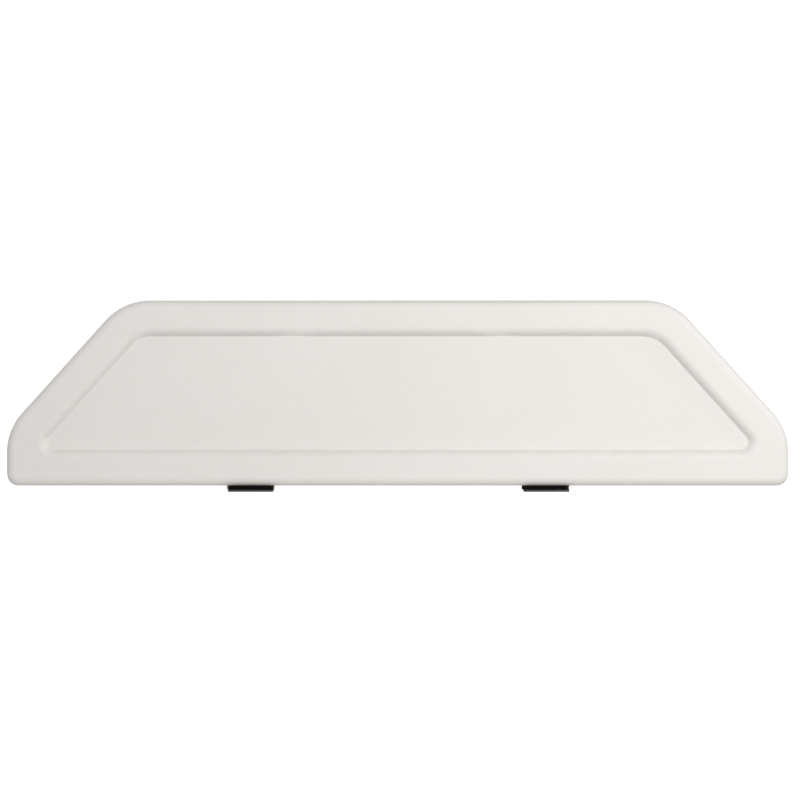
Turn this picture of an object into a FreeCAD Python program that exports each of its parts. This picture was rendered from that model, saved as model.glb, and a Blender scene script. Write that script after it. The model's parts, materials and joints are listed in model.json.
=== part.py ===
"""A fold-down splash panel of a resin wash station: a long hollow moulded panel with sloping
shoulders and a sunk front field, which stands on two black butt hinges and folds backwards.

Millimetres. +X runs along the panel, -Y is the front, +Z is up. The origin is on the deck,
midway along the panel and midway between the front and rear edges of the hinge plates.
The panel's own pieces are drawn lying down, rear face at z = 0 and height along y, and are
stood up behind the hinge axis by stand_up()."""

import FreeCAD, Part
import math
import operator
import os
from types import SimpleNamespace

import Sketcher
from FreeCAD import Placement, Rotation, Vector

SIZES = [
    # Outline of the panel
    ("panel_width", 800.0, "bottom edge, side to side"),
    ("panel_height", 189.5, "bottom edge to top edge"),
    ("side_height", 57.0, "where the upright side would meet the slope"),
    ("slope_angle", 48.0, "slope above the horizontal, degrees"),
    ("corner_radius", 61.0, "shoulder and top corners"),
    ("foot_radius", 12.0, "bottom corners"),
    ("least_round", 2.0, "corners that an inset would close up"),
    # Section of the panel
    ("panel_depth", 26.0, "rear face to front face"),
    ("front_round", 8.0, "rounding of the front edge"),
    ("skin", 3.0, "moulded wall"),
    ("cover_thick", 3.0, "rear cover"),
    ("cover_round", 2.0, "rounding of the cover's rear edge"),
    ("seal_thick", 1.0, "edge seal, clamped"),
    ("seal_lap", 0.8, "edge seal, set in from the outline"),
    # Sunk field of the front
    ("recess_inset", 36.4, "outline to the edge of the sunk floor"),
    ("recess_depth", 7.0, "front face to the sunk floor"),
    ("recess_draft", 33.0, "lean of the field's wall from square, degrees"),
    ("recess_foot_radius", 8.2, "lower corners of the sunk floor"),
    ("recess_top_radius", 36.0, "upper corners of the sunk floor"),
    ("rim_round", 9.0, "roll from the front face into the field"),
    # Inside of the shell
    ("rim_hollow", 17.0, "width of the hollow behind the raised rim"),
    ("rib_thick", 2.0, "ribs behind the field and inside the cover"),
    ("rib_gap", 2.8, "shell ribs, clear of the ribs and screws on the cover"),
    ("rib_pitch", 90.0, "between shell ribs"),
    ("cover_rib", 5.0, "height of a cover rib"),
    # Screw bosses
    ("boss_inset", 13.0, "outline to a boss's middle"),
    ("boss_radius", 4.6, "boss outside"),
    ("boss_hinge_offset", 90.0, "bottom bosses, each side of a hinge"),
    ("boss_end_offset", 42.0, "last bottom boss from the panel's side"),
    ("boss_top_offset", 40.0, "last top boss from the top corner"),
    ("boss_top_inner", 80.0, "inner top boss from the middle"),
    ("insert_radius", 2.8, "brass insert outside"),
    ("insert_length", 8.0, "brass insert"),
    ("screw_radius", 1.75, "cover screw, M3.5"),
    ("screw_length", 12.0, "cover screw under its head"),
    ("screw_head_radius", 3.5, "cover screw head"),
    ("screw_head_height", 2.1, "cover screw head"),
    # Hinges
    ("hinge_spacing", 301.0, "between the stop pads' middles"),
    ("hinge_shift", 2.2, "right hinge, further out than its pad"),
    ("hinge_width", 46.0, "along the pin"),
    ("plate_thick", 2.0, "steel leaves"),
    ("barrel_radius", 4.0, "knuckle outside"),
    ("pin_radius", 2.0, "hinge pin"),
    ("pin_head_radius", 2.5, "hinge pin head"),
    ("pin_head_length", 1.0, "hinge pin head"),
    ("pin_tail", 2.2, "pin past the last knuckle"),
    ("groove_depth", 0.5, "clip groove in the pin"),
    ("clip_thick", 0.8, "retaining clip"),
    ("clip_radius", 3.3, "retaining clip outside"),
    ("clip_mouth", 2.6, "opening of the clip"),
    ("base_knuckle", 8.0, "length of each of three deck knuckles"),
    ("knuckle_gap", 0.5, "between neighbouring knuckles"),
    ("washer_thick", 0.4, "thrust washer in a knuckle gap"),
    ("bush_wall", 0.5, "nylon bush"),
    ("running_fit", 0.05, "radial play of the pin"),
    ("swing_gap", 0.5, "round a turning knuckle"),
    ("toe_reach", 34.0, "deck leaf, axis to front edge"),
    ("tail_reach", 50.0, "deck leaf, axis to rear edge"),
    ("deck_hole_radius", 2.25, "deck screw hole"),
    ("deck_sink_radius", 4.2, "mouth of a deck screw's countersink"),
    ("deck_hole_wide", 24.0, "deck screw pitch along the pin"),
    ("deck_hole_long", 26.0, "deck screw pitch away from the pin"),
    ("deck_hole_first", 15.0, "axis to the first deck screws"),
    ("neck_reach", 6.0, "deck leaf, axis to where it starts to narrow"),
    ("tail_width", 34.0, "deck leaf, along its rear edge"),
    ("plate_corner", 2.0, "corner radius of the leaves"),
    # What fixes the panel to its leaves
    ("leaf_height", 60.0, "panel leaf above the axis"),
    ("gasket_thick", 1.0, "rubber behind the panel leaf"),
    ("gasket_edge", 3.0, "gasket above the panel's bottom edge"),
    ("bolt_radius", 2.0, "leaf screw, M4"),
    ("bolt_clearance", 0.25, "radial, through leaf, gasket and cover"),
    ("thread_play", 0.02, "radial, in the nut plate and the inserts"),
    ("bolt_head_radius", 3.8, "leaf screw head"),
    ("bolt_head_height", 2.6, "leaf screw head"),
    ("bolt_end", 2.0, "leaf screw past the nut plate"),
    ("bolt_first", 20.0, "axis to the first leaf screws"),
    ("bolt_long", 28.0, "leaf screw pitch up the leaf"),
    ("bolt_wide", 26.0, "leaf screw pitch along the pin"),
    ("nut_plate_thick", 3.0, "nut plate"),
    ("nut_plate_edge", 8.0, "nut plate past its screws"),
    ("nut_plate_corner", 2.0, "corner radius of the nut plate"),
    # Rubber stops
    ("pad_thick", 4.1, "stop pad under the panel's bottom edge"),
    ("pad_front", 7.0, "stop pad's front edge behind the panel's front"),
    ("pad_back", 9.0, "stop pad's rear edge ahead of the axis"),
    ("pad_wide", 45.6, "stop pad along the panel"),
    ("stop_gap", 0.2, "stop to what it meets"),
    ("bumper_radius", 9.0, "bumper at the cover"),
    ("bumper_tip_radius", 6.5, "bumper at its tip"),
    ("bumper_stem_radius", 2.5, "bumper stem through the cover"),
    ("bumper_bulb_radius", 4.0, "bulb that holds the bumper"),
    ("bumper_bulb_height", 3.0, "bulb inside the cover"),
    ("bumper_down", 30.0, "bumper below the top edge"),
    ("bumper_from_corner", 45.0, "bumper from the top corner"),
]

SIDES = {"left": -1, "right": 1}


def as_size(value):
    return value if isinstance(value, Size) else Size(float(value), repr(float(value)))


def combined(left, sign, right):
    """Joins two sizes, their numbers and their sheet formulas alike."""
    left, right = as_size(left), as_size(right)
    act = {"+": operator.add, "-": operator.sub, "*": operator.mul, "/": operator.truediv}[sign]
    return Size(act(left.number, right.number), f"({left.text} {sign} {right.text})")


class Size:
    """A number together with the spreadsheet formula that gives it."""

    def __init__(self, number, text):
        self.number = number
        self.text = text

    def __add__(self, other):
        return combined(self, "+", other)

    def __radd__(self, other):
        return combined(other, "+", self)

    def __sub__(self, other):
        return combined(self, "-", other)

    def __rsub__(self, other):
        return combined(other, "-", self)

    def __mul__(self, other):
        return combined(self, "*", other)

    def __rmul__(self, other):
        return combined(other, "*", self)

    def __truediv__(self, other):
        return combined(self, "/", other)

    def __neg__(self):
        return combined(0, "-", self)


def turned(name, angle):
    """sin, cos or tan of an angle in degrees."""
    angle = as_size(angle)
    return Size(getattr(math, name)(math.radians(angle.number)), f"{name}({angle.text})")


def larger(one, other):
    """The larger of two sizes."""
    one, other = as_size(one), as_size(other)
    return Size(max(one.number, other.number), f"max({one.text}; {other.text})")


def bind(thing, path, value):
    thing.setExpression(path, as_size(value).text)


def make_sheet():
    """Writes every driving size to the sheet and returns them by name."""
    sheet = doc.addObject("Spreadsheet::Sheet", "Sizes")
    for row, (name, number, words) in enumerate(SIZES, start=1):
        sheet.set(f"A{row}", name)
        sheet.set(f"B{row}", str(number))
        sheet.set(f"C{row}", words)
        sheet.setAlias(f"B{row}", name)
    doc.recompute()
    return SimpleNamespace(**{name: Size(number, f"Sizes.{name}") for name, number, _ in SIZES})


# Solids with bound sizes -----------------------------------------------------------------


def place(thing, at):
    for letter, value in zip("xyz", at):
        bind(thing, f"Placement.Base.{letter}", value)


def box(name, low, size):
    """A block from its lowest corner."""
    block = doc.addObject("Part::Box", name)
    for path, value in zip(("Length", "Width", "Height"), size):
        bind(block, path, value)
    place(block, low)
    return block


ALONG = {"z": Rotation(), "x": Rotation(Vector(0, 1, 0), 90)}


def rod(name, radius, length, at, along="z"):
    """A round bar whose first end's middle is at a point."""
    bar = doc.addObject("Part::Cylinder", name)
    bind(bar, "Radius", radius)
    bind(bar, "Height", length)
    bar.Placement = Placement(Vector(), ALONG[along])
    place(bar, at)
    return bar


def cone(name, first_radius, last_radius, length, at):
    shape = doc.addObject("Part::Cone", name)
    bind(shape, "Radius1", first_radius)
    bind(shape, "Radius2", last_radius)
    bind(shape, "Height", length)
    place(shape, at)
    return shape


def fused(name, pieces):
    joined = doc.addObject("Part::MultiFuse", name)
    joined.Shapes = pieces
    return joined


def cut(name, base, tools):
    """The base without its tools."""
    left = doc.addObject("Part::Cut", name)
    left.Base = base
    left.Tool = tools[0] if len(tools) == 1 else fused(name + "_tools", tools)
    return left


def group(name, pieces):
    """Separate solids kept together in one node."""
    together = doc.addObject("Part::Compound", name)
    together.Links = pieces
    return together


def stand_up(piece, x=0):
    """Stands a piece that was drawn lying down behind the hinge axis."""
    piece.Placement = Placement(Vector(), Rotation(Vector(1, 0, 0), 90))
    place(piece, (x, panel_rear, panel_bottom))
    return piece


# Bodies with sketches --------------------------------------------------------------------


def new_body(name):
    return doc.addObject("PartDesign::Body", name)


def new_sketch(body, name, height, role="XY_Plane"):
    """A sketch on one of the body's own planes, moved along the plane's normal."""
    plane = next(part for part in body.Origin.OriginFeatures if part.Role == role)
    sketch = body.newObject("Sketcher::SketchObject", name)
    sketch.AttachmentSupport = [(plane, "")]
    sketch.MapMode = "FlatFace"
    bind(sketch, "AttachmentOffset.Base.z", height)
    return sketch


def tie(sketch, constraint, value):
    """Adds a constraint whose value follows the sheet."""
    bind(sketch, f"Constraints[{sketch.addConstraint(constraint)}]", value)


def pin_point(sketch, shape, end, x, y):
    """Holds one point of a shape at bound distances from the sketch's origin."""
    for kind, value in (("DistanceX", as_size(x)), ("DistanceY", as_size(y))):
        tie(sketch, Sketcher.Constraint(kind, -1, 1, shape, end, value.number), value)


def draw_circle(sketch, x, y, radius):
    x, y, radius = as_size(x), as_size(y), as_size(radius)
    middle = Vector(x.number, y.number, 0)
    circle = sketch.addGeometry(Part.Circle(middle, Vector(0, 0, 1), radius.number))
    tie(sketch, Sketcher.Constraint("Radius", circle, radius.number), radius)
    pin_point(sketch, circle, 3, x, y)


def draw_polygon(sketch, corners):
    """A closed outline with sharp corners, each held in place."""
    points = [Vector(as_size(x).number, as_size(y).number, 0) for x, y in corners]
    nexts = points[1:] + points[:1]
    lines = [sketch.addGeometry(Part.LineSegment(*ends)) for ends in zip(points, nexts)]
    for line, following in zip(lines, lines[1:] + lines[:1]):
        sketch.addConstraint(Sketcher.Constraint("Coincident", line, 2, following, 1))
    for line, (x, y) in zip(lines, corners):
        pin_point(sketch, line, 1, x, y)


def draw_rounded(sketch, corners):
    """A closed outline, counter-clockwise, of lines and the arcs that round its corners. Each
    corner is its sharp point and its radius; the lines pass through those points."""
    points = [Vector(as_size(x).number, as_size(y).number, 0) for x, y, _ in corners]
    radii = [as_size(radius) for _, _, radius in corners]
    count = len(corners)
    arcs = []
    ends = []
    for i in range(count):
        back = (points[i - 1] - points[i]).normalize()
        ahead = (points[(i + 1) % count] - points[i]).normalize()
        half = back.getAngle(ahead) / 2
        reach = radii[i].number / math.tan(half)
        middle = points[i] + (back + ahead).normalize() * (radii[i].number / math.sin(half))
        first = points[i] + back * reach
        last = points[i] + ahead * reach
        angles = [math.atan2(p.y - middle.y, p.x - middle.x) for p in (first, last)]
        circle = Part.Circle(middle, Vector(0, 0, 1), radii[i].number)
        arcs.append(sketch.addGeometry(Part.ArcOfCircle(circle, *angles)))
        ends.append((first, last))
    for i in range(count):
        following = (i + 1) % count
        line = sketch.addGeometry(Part.LineSegment(ends[i][1], ends[following][0]))
        sketch.addConstraint(Sketcher.Constraint("Tangent", arcs[i], 2, line, 1))
        sketch.addConstraint(Sketcher.Constraint("Tangent", line, 2, arcs[following], 1))
        for j in (i, following):
            mark = sketch.addGeometry(Part.Point(points[j]), True)
            pin_point(sketch, mark, 1, corners[j][0], corners[j][1])
            sketch.addConstraint(Sketcher.Constraint("PointOnObject", mark, 1, line))
        tie(sketch, Sketcher.Constraint("Radius", arcs[i], radii[i].number), radii[i])


def padded(body, name, sketch, length):
    pad = body.newObject("PartDesign::Pad", name)
    pad.Profile = sketch
    bind(pad, "Length", length)
    doc.recompute()
    return pad


def pocketed(body, name, sketch, length, upwards, lean=None):
    """Cuts from the sketch upwards or downwards, and makes sure that it removed something."""
    before = body.Shape.Volume
    pocket = body.newObject("PartDesign::Pocket", name)
    pocket.Profile = sketch
    pocket.Reversed = upwards
    bind(pocket, "Length", length)
    if lean:
        bind(pocket, "TaperAngle", lean)
    doc.recompute()
    if body.Shape.Volume >= before:
        raise RuntimeError(f"{name} cut nothing")
    return pocket


def rounded_edges(body, name, base, radius, wanted):
    """Fillets the edges of a feature that a test picks."""
    names = [f"Edge{i}" for i, edge in enumerate(base.Shape.Edges, start=1) if wanted(edge)]
    fillet = body.newObject("PartDesign::Fillet", name)
    fillet.Base = (base, names)
    bind(fillet, "Radius", radius)
    doc.recompute()
    return fillet


def level_at(height, inside=None):
    """A test for edges that lie wholly at one height, and further in than a distance from the
    panel's top and bottom edges if one is given."""
    height = as_size(height).number
    lowest, highest = -math.inf, math.inf
    if inside:
        lowest, highest = inside.number, (s.panel_height - inside).number

    def test(edge):
        room = edge.BoundBox
        level = room.ZLength < 1e-4 and abs(room.ZMin - height) < 1e-4
        return level and room.YMin > lowest and room.YMax < highest

    return test


# Outlines --------------------------------------------------------------------------------


def panel_outline(inset):
    """Six corners of the panel's outline moved in by an inset, counter-clockwise from the
    lower right."""
    half_width = s.panel_width / 2 - inset
    shoulder = s.side_height - inset * turned("tan", (90 - s.slope_angle) / 2)
    top_half = top_corner - inset * turned("tan", s.slope_angle / 2)
    round_corner = larger(s.corner_radius - inset, s.least_round)
    round_foot = larger(s.foot_radius - inset, s.least_round)
    top = s.panel_height - inset
    return [
        (half_width, inset, round_foot),
        (half_width, shoulder, round_corner),
        (top_half, top, round_corner),
        (-top_half, top, round_corner),
        (-half_width, shoulder, round_corner),
        (-half_width, inset, round_foot),
    ]


def field_outline(spread):
    """Four corners of the sunk floor moved out by a spread, counter-clockwise from the lower
    right. The slopes run down to the bottom edge."""
    inset = s.recess_inset - spread
    top_half = top_corner - inset * turned("tan", s.slope_angle / 2)
    rise = s.panel_height - 2 * inset
    foot_half = top_half + rise / turned("tan", s.slope_angle)
    round_top = s.recess_top_radius + spread
    round_foot = s.recess_foot_radius + spread
    return [
        (foot_half, inset, round_foot),
        (top_half, s.panel_height - inset, round_top),
        (-top_half, s.panel_height - inset, round_top),
        (-foot_half, inset, round_foot),
    ]


def plate_outline(half, low, high, corner):
    """A plate about x = 0 between two heights, with rounded corners."""
    return [(half, low, corner), (half, high, corner), (-half, high, corner), (-half, low, corner)]


def boss_places():
    """Twelve screw places round the panel, as x and y on the lying panel."""
    hinge = s.hinge_spacing / 2
    along_bottom = [
        hinge - s.boss_hinge_offset,
        hinge + s.boss_hinge_offset,
        s.panel_width / 2 - s.boss_end_offset,
    ]
    along_top = [s.boss_top_inner, top_corner - s.boss_top_offset]
    mid_x = (s.panel_width / 2 + top_corner) / 2 - s.boss_inset * turned("sin", s.slope_angle)
    mid_y = (s.side_height + s.panel_height) / 2 - s.boss_inset * turned("cos", s.slope_angle)
    right = [(x, s.boss_inset) for x in along_bottom]
    right += [(x, s.panel_height - s.boss_inset) for x in along_top]
    right += [(mid_x, mid_y)]
    return right + [(-x, y) for x, y in right]


def leaf_bolt_places():
    """Four screw places on a panel leaf, from its middle and the panel's bottom edge."""
    first = axis_on_panel + s.bolt_first
    wide = s.bolt_wide / 2
    return [(x, y) for x in (-wide, wide) for y in (first, first + s.bolt_long)]


def hinge_middle(side):
    """x of the middle of a hinge."""
    sign = SIDES[side]
    return sign * s.hinge_spacing / 2 + (s.hinge_shift if side == "right" else 0)


def deck_knuckles():
    """Start and length of each deck knuckle along the hinge, from its middle."""
    step = s.base_knuckle + leaf_knuckle + 2 * s.knuckle_gap
    return [(i * step - s.hinge_width / 2, s.base_knuckle) for i in range(3)]


def leaf_knuckles():
    """Start and length of each panel-leaf knuckle along the hinge, from its middle."""
    return [(x + length + s.knuckle_gap, leaf_knuckle) for x, length in deck_knuckles()[:2]]


# The panel -------------------------------------------------------------------------------


def front_shell():
    """The moulded front: rounded edges, the sunk field, hollow behind, with ribs and bosses."""
    body = new_body("front_shell_moulding")
    rear = s.cover_thick + s.seal_thick
    outline = new_sketch(body, "shell_outline", rear)
    draw_rounded(outline, panel_outline(as_size(0)))
    block = padded(body, "shell_block", outline, s.panel_depth - rear)
    rounded_edges(body, "shell_round", block, s.front_round, level_at(s.panel_depth))
    field = new_sketch(body, "field_outline", s.panel_depth)
    draw_rounded(field, field_outline(s.recess_depth * turned("tan", s.recess_draft)))
    sunk = pocketed(body, "field", field, s.recess_depth, False, -s.recess_draft)
    rim_rolls = level_at(s.panel_depth, inside=s.front_round + 1)
    rounded_edges(body, "rim_roll", sunk, s.rim_round, rim_rolls)
    floor_back = s.panel_depth - s.recess_depth - s.skin
    hollow = new_sketch(body, "hollow_outline", rear)
    draw_rounded(hollow, panel_outline(s.skin))
    pocketed(body, "hollow", hollow, floor_back - rear, True)
    rim = new_sketch(body, "rim_hollow_outline", rear)
    draw_rounded(rim, panel_outline(s.front_round))
    draw_rounded(rim, panel_outline(rim_inner))
    pocketed(body, "rim_hollow", rim, s.panel_depth - s.skin - rear, True)

    bosses = []
    holes = []
    boss_height = s.panel_depth - s.skin / 2 - s.cover_thick
    for i, (x, y) in enumerate(boss_places()):
        at = (x, y, s.cover_thick)
        bosses.append(rod(f"boss_{i}", s.boss_radius, boss_height, at))
        holes.append(rod(f"boss_hole_{i}", s.insert_radius, s.insert_length, at))
        depth = s.screw_length - s.cover_thick + 1
        holes.append(rod(f"boss_drill_{i}", s.screw_radius + s.thread_play, depth, at))
    ribs = []
    rib_low = s.cover_thick + larger(s.cover_rib, s.nut_plate_thick + s.bolt_end) + s.rib_gap
    for i in range(-2, 4):
        low = ((i - 0.5) * s.rib_pitch - s.rib_thick / 2, rim_inner, rib_low)
        size = (s.rib_thick, s.panel_height - 2 * rim_inner, floor_back + s.skin / 2 - rib_low)
        ribs.append(box(f"shell_rib_{i + 2}", low, size))
    whole = fused("shell_with_bosses", [body] + bosses + ribs)
    return stand_up(cut("front_shell", whole, holes))


def rear_cover():
    """The flat back with its screw holes and two stiffening ribs inside."""
    body = new_body("rear_cover_moulding")
    outline = new_sketch(body, "cover_outline", 0)
    draw_rounded(outline, panel_outline(as_size(0)))
    plate = padded(body, "cover_plate", outline, s.cover_thick)
    rounded_edges(body, "cover_edge", plate, s.cover_round, level_at(0))
    ribs = []
    for i, y in enumerate((s.panel_height / 3, 2 * s.panel_height / 3)):
        low = (-top_corner, y + s.panel_height / 12, s.cover_thick / 2)
        size = (2 * top_corner, s.rib_thick, s.cover_thick / 2 + s.cover_rib)
        ribs.append(box(f"cover_rib_{i}", low, size))
    below = -1
    through = s.cover_thick + 2
    wide = s.screw_radius + s.bolt_clearance
    holes = [
        rod(f"cover_hole_{i}", wide, through, (x, y, below))
        for i, (x, y) in enumerate(boss_places())
    ]
    for side in SIDES:
        for i, (x, y) in enumerate(leaf_bolt_places()):
            at = (hinge_middle(side) + x, y, below)
            holes.append(rod(f"{side}_cover_bolt_hole_{i}", bolt_hole, through, at))
        x, y = bumper_place(side)
        at = (x, y, below)
        stem = s.bumper_stem_radius + s.running_fit
        holes.append(rod(f"{side}_bumper_hole", stem, through, at))
    return stand_up(cut("rear_cover", fused("cover_with_ribs", [body] + ribs), holes))


def edge_seal():
    """The flat rubber ring clamped between the cover and the shell's wall."""
    body = new_body("edge_seal")
    ring = new_sketch(body, "seal_outline", s.cover_thick)
    draw_rounded(ring, panel_outline(s.seal_lap))
    draw_rounded(ring, panel_outline(s.skin))
    padded(body, "seal_ring", ring, s.seal_thick)
    return stand_up(body)


def cover_screws():
    """Pan-head screws through the cover into the brass inserts."""
    screws = []
    for i, (x, y) in enumerate(boss_places()):
        shank = rod(f"cover_screw_shank_{i}", s.screw_radius, s.screw_length, (x, y, 0))
        at = (x, y, -s.screw_head_height)
        head_tip = s.screw_head_radius - s.screw_head_height / 3
        head = cone(f"cover_screw_head_{i}", head_tip, s.screw_head_radius, s.screw_head_height, at)
        screws.append(fused(f"cover_screw_{i}", [shank, head]))
    return stand_up(group("cover_screws", screws))


def boss_inserts():
    """Brass sleeves in the bosses."""
    sleeves = []
    for i, (x, y) in enumerate(boss_places()):
        at = (x, y, s.cover_thick)
        outside = rod(f"insert_outside_{i}", s.insert_radius, s.insert_length, at)
        thread = rod(f"insert_thread_{i}", s.screw_radius + s.thread_play, s.insert_length, at)
        sleeves.append(cut(f"insert_{i}", outside, [thread]))
    return stand_up(group("boss_inserts", sleeves))


def bumper_place(side):
    """x and y of a bumper on the lying panel."""
    x = SIDES[side] * (top_corner - s.bumper_from_corner)
    return x, s.panel_height - s.bumper_down


def bumper(side):
    """A rubber foot that meets the deck when the panel lies back."""
    name = f"{side}_bumper"
    body = new_body(name)
    height = panel_rear_drop - s.stop_gap
    bulb = s.cover_thick + s.bumper_bulb_height
    tip = s.bumper_stem_radius - 0.5
    profile = [
        (0, -height),
        (s.bumper_tip_radius, -height),
        (s.bumper_radius, 0),
        (s.bumper_stem_radius, 0),
        (s.bumper_stem_radius, s.cover_thick),
        (s.bumper_bulb_radius, s.cover_thick),
        (tip, bulb),
        (0, bulb),
    ]
    sketch = new_sketch(body, f"{name}_profile", 0, "XZ_Plane")
    draw_polygon(sketch, profile)
    turn = body.newObject("PartDesign::Revolution", f"{name}_turned")
    turn.Profile = sketch
    turn.ReferenceAxis = (sketch, ["V_Axis"])
    doc.recompute()
    stand_up(body)
    x, y = bumper_place(side)
    place(body, (x, panel_rear, panel_bottom + y))
    return body


def stop_pad(side):
    """The rubber strip stuck under the panel's bottom edge, which rests on the deck leaf."""
    front = panel_rear - s.panel_depth + s.pad_front
    length = hinge_y - s.pad_back - front
    low = (SIDES[side] * s.hinge_spacing / 2 - s.pad_wide / 2, front, panel_bottom - s.pad_thick)
    return box(f"{side}_stop_pad", low, (s.pad_wide, length, s.pad_thick))


# The hinges ------------------------------------------------------------------------------


def base_leaf(side):
    """The deck leaf: a flat plate that narrows to the rear, with three knuckles, two windows
    and four sunk holes."""
    body = new_body(f"{side}_base_plate")
    sketch = new_sketch(body, f"{side}_base_outline", 0)
    right = [
        (leaf_half, hinge_y - s.toe_reach, s.plate_corner),
        (leaf_half, hinge_y + s.neck_reach, s.plate_corner),
        (s.tail_width / 2, hinge_y + s.tail_reach, s.plate_corner),
    ]
    draw_rounded(sketch, right + [(-x, y, corner) for x, y, corner in reversed(right)])
    padded(body, f"{side}_base_pad", sketch, s.plate_thick)
    solids = [body]
    tools = []
    for i, (x, length) in enumerate(deck_knuckles()):
        at = (x, hinge_y, s.barrel_radius)
        solids.append(rod(f"{side}_base_barrel_{i}", s.barrel_radius, length, at, "x"))
        bore = s.pin_radius + s.thread_play
        tools.append(rod(f"{side}_base_bore_{i}", bore, length, at, "x"))
    reach = s.barrel_radius + s.swing_gap
    for i, (x, length) in enumerate(leaf_knuckles()):
        low = (x - s.knuckle_gap, hinge_y - reach, -1)
        size = (length + 2 * s.knuckle_gap, 2 * reach, s.plate_thick + 2)
        tools.append(box(f"{side}_base_window_{i}", low, size))
    for i, (x, y) in enumerate(deck_hole_places()):
        tools.append(rod(f"{side}_deck_hole_{i}", s.deck_hole_radius, s.plate_thick, (x, y, 0)))
        sink = s.deck_sink_radius - s.deck_hole_radius
        at = (x, y, s.plate_thick - sink)
        tools.append(
            cone(f"{side}_deck_sink_{i}", s.deck_hole_radius, s.deck_sink_radius, sink, at)
        )
    leaf = cut(f"{side}_base_leaf", fused(f"{side}_base_blank", solids), tools)
    place(leaf, (hinge_middle(side), 0, 0))
    return leaf


def deck_hole_places():
    """x from the hinge's middle and y of each deck screw hole."""
    first = hinge_y + s.deck_hole_first
    wide = s.deck_hole_wide / 2
    return [(x, y) for x in (-wide, wide) for y in (first, first + s.deck_hole_long)]


def panel_leaf(side):
    """The upright leaf: two knuckles below a plate that lies flat on the gasket."""
    low = axis_on_panel
    high = axis_on_panel + s.leaf_height
    plate_z = -s.gasket_thick - s.plate_thick
    body = new_body(f"{side}_leaf_plate")
    sketch = new_sketch(body, f"{side}_leaf_outline", plate_z)
    draw_rounded(sketch, plate_outline(leaf_half, low, high, s.plate_corner))
    padded(body, f"{side}_leaf_pad", sketch, s.plate_thick)
    axis_z = -s.gasket_thick - s.barrel_radius
    solids = [body]
    tools = []
    for i, (x, length) in enumerate(leaf_knuckles()):
        at = (x, low, axis_z)
        solids.append(rod(f"{side}_leaf_barrel_{i}", s.barrel_radius, length, at, "x"))
        bore = s.pin_radius + 2 * s.running_fit + s.bush_wall
        tools.append(rod(f"{side}_leaf_bore_{i}", bore, length, at, "x"))
    clear = s.barrel_radius + 2 * s.swing_gap
    for i, (x, length) in enumerate(deck_knuckles()):
        corner = (x - s.knuckle_gap, low - 1, plate_z - 1)
        size = (length + 2 * s.knuckle_gap, clear + 1, s.plate_thick + 2)
        tools.append(box(f"{side}_leaf_notch_{i}", corner, size))
    for i, (x, y) in enumerate(leaf_bolt_places()):
        at = (x, y, plate_z - 1)
        tools.append(rod(f"{side}_leaf_hole_{i}", bolt_hole, s.plate_thick + 2, at))
    leaf = cut(f"{side}_panel_leaf", fused(f"{side}_leaf_blank", solids), tools)
    return stand_up(leaf, hinge_middle(side))


def leaf_gasket(side):
    """Thin rubber between the panel leaf and the cover."""
    body = new_body(f"{side}_leaf_gasket")
    high = axis_on_panel + s.leaf_height
    sketch = new_sketch(body, f"{side}_gasket_outline", -s.gasket_thick)
    draw_rounded(sketch, plate_outline(leaf_half, s.gasket_edge, high, s.plate_corner))
    for x, y in leaf_bolt_places():
        draw_circle(sketch, x, y, bolt_hole)
    padded(body, f"{side}_gasket_pad", sketch, s.gasket_thick)
    return stand_up(body, hinge_middle(side))


def nut_plate(side):
    """The threaded steel plate inside the panel that the leaf screws pull on."""
    body = new_body(f"{side}_nut_plate")
    half = s.bolt_wide / 2 + s.nut_plate_edge
    low = axis_on_panel + s.bolt_first - s.nut_plate_edge
    high = axis_on_panel + s.bolt_first + s.bolt_long + s.nut_plate_edge
    sketch = new_sketch(body, f"{side}_nut_plate_outline", s.cover_thick)
    draw_rounded(sketch, plate_outline(half, low, high, s.nut_plate_corner))
    for x, y in leaf_bolt_places():
        draw_circle(sketch, x, y, s.bolt_radius + s.thread_play)
    padded(body, f"{side}_nut_plate_pad", sketch, s.nut_plate_thick)
    return stand_up(body, hinge_middle(side))


def leaf_screws(side):
    """Four M4 pan-head screws through leaf, gasket and cover into the nut plate."""
    under_head = -s.gasket_thick - s.plate_thick
    length = s.cover_thick + s.nut_plate_thick + s.bolt_end - under_head
    tip = s.bolt_head_radius - s.bolt_head_height / 3
    screws = []
    for i, (x, y) in enumerate(leaf_bolt_places()):
        shank = rod(f"{side}_leaf_shank_{i}", s.bolt_radius, length, (x, y, under_head))
        at = (x, y, under_head - s.bolt_head_height)
        head = cone(f"{side}_leaf_head_{i}", tip, s.bolt_head_radius, s.bolt_head_height, at)
        screws.append(fused(f"{side}_leaf_screw_{i}", [shank, head]))
    return stand_up(group(f"{side}_leaf_screws", screws), hinge_middle(side))


def hinge_pin(side):
    """The pin, turned from a profile along its axis: head, shank, clip groove and end."""
    name = f"{side}_hinge_pin"
    body = new_body(name)
    end = s.hinge_width / 2
    groove = s.pin_radius - s.groove_depth
    groove_start = -end - s.clip_thick - 2 * s.running_fit
    tail = -end - s.pin_tail
    profile = [
        (tail, 0),
        (end + s.pin_head_length, 0),
        (end + s.pin_head_length, s.pin_head_radius),
        (end, s.pin_head_radius),
        (end, s.pin_radius),
        (-end, s.pin_radius),
        (-end, groove),
        (groove_start, groove),
        (groove_start, s.pin_radius),
        (tail, s.pin_radius),
    ]
    sketch = new_sketch(body, f"{name}_profile", 0)
    draw_polygon(sketch, profile)
    turn = body.newObject("PartDesign::Revolution", f"{name}_turned")
    turn.Profile = sketch
    turn.ReferenceAxis = (sketch, ["H_Axis"])
    doc.recompute()
    place(body, (hinge_middle(side), hinge_y, s.barrel_radius))
    return body


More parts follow.
